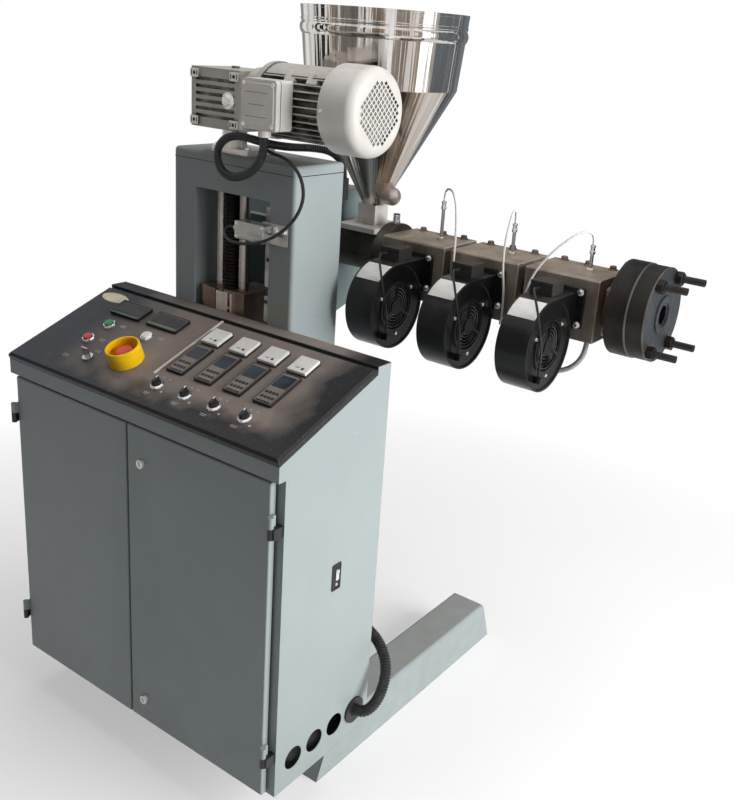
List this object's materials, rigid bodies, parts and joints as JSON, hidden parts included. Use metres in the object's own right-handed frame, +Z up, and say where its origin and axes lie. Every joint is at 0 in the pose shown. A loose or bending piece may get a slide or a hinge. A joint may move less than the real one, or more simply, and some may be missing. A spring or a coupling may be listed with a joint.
{
  "type": "plastic extruder on a lift column",
  "caption": "Small plastic extruder with hopper, heated barrel and blowers, carried on a motor-driven lift column behind a sloping control cabinet.",
  "frame": {"origin": "on the floor, under the middle of the lift column, on the underside of the base's cross beam", "axes": "+X along the barrel towards the die, +Y from the cabinet to the back of the machine, +Z up"},
  "size_m": [1.418, 0.967, 1.644],
  "materials": {
    "green_paint": "satin grey-green machine enamel on sheet steel",
    "console_black": "dull black console panel and instrument fronts",
    "white_plastic": "white instrument plastic",
    "bright_metal": "bright plated metal",
    "black_plastic": "black moulded plastic",
    "yellow_plastic": "yellow moulded guard",
    "chrome_rod": "hard chromed guide rod",
    "dark_steel": "oil-blackened steel",
    "cast_aluminium": "silver painted cast aluminium",
    "worn_steel": "heat-browned cast metal",
    "drive_paint": "grey-green enamel",
    "blower_black": "black stoved paint",
    "stainless": "polished stainless sheet",
    "black_rubber": "black corrugated hose and cable sheath",
    "pale_sleeve": "pale braided lead sleeve"
  },
  "bodies": {
    "frame": {"cabinet_back": "green_paint", "cabinet_fascia": "green_paint", "cabinet_floor": "green_paint", "cabinet_front_frame": "green_paint", "cabinet_left_side": "green_paint", "cabinet_right_side": "green_paint", "column_cap": "green_paint", "column_head": "green_paint", "column_left_post": "green_paint", "column_right_post": "green_paint", "console_panel": "console_black", "cross_beam": "green_paint", "door_hinges": "black_plastic", "emergency_stop": "yellow_plastic", "gear_pedestal": "bright_metal", "guide_rods": "chrome_rod", "hose_glands": "black_plastic", "key_switch": "bright_metal", "lead_screw": "dark_steel", "left_beam": "green_paint", "lift_gear_unit": "cast_aluminium", "lift_motor": "cast_aluminium", "limit_bracket": "bright_metal", "limit_cable": "black_rubber", "limit_switch": "bright_metal", "motor_fan_cover": "cast_aluminium", "motor_hose": "black_rubber", "motor_terminal_box": "cast_aluminium", "panel_meters": "white_plastic", "push_buttons": "bright_metal", "right_beam": "green_paint", "selector_switches": "bright_metal", "side_hose": "black_rubber", "speed_displays": "console_black", "temperature_controllers": "console_black"},
    "left_door": {"left_door": "green_paint"},
    "right_door": {"right_door": "green_paint", "door_locks": "bright_metal"},
    "lift": {"nut_block": "worn_steel", "carriage": "drive_paint", "screw_gearbox": "drive_paint", "main_motor": "drive_paint", "feed_section": "dark_steel", "barrel": "dark_steel", "die_flange": "dark_steel", "die_studs": "dark_steel", "heater_block_1": "worn_steel", "heater_block_2": "worn_steel", "heater_block_3": "worn_steel", "blower_1": "blower_black", "blower_2": "blower_black", "blower_3": "blower_black", "hopper_cylinder": "stainless", "hopper_cone": "stainless", "hopper_neck": "stainless", "thermocouples": "bright_metal", "thermocouple_leads": "pale_sleeve", "blower_wires": "black_rubber", "heater_conduit": "pale_sleeve"}
  },
  "joints": [
    {"name": "left_door_hinge", "type": "hinge", "parent": "frame", "child": "left_door", "pos_m": [-0.339, -0.407, 0.48], "axis": [0, 0, -1], "range_deg": [0, 110]},
    {"name": "right_door_hinge", "type": "hinge", "parent": "frame", "child": "right_door", "pos_m": [0.436, -0.407, 0.48], "axis": [0, 0, 1], "range_deg": [0, 110]},
    {"name": "lift", "type": "slide", "parent": "frame", "child": "lift", "axis": [0, 0, 1], "range_m": [-0.1, 0.15]}
  ]
}
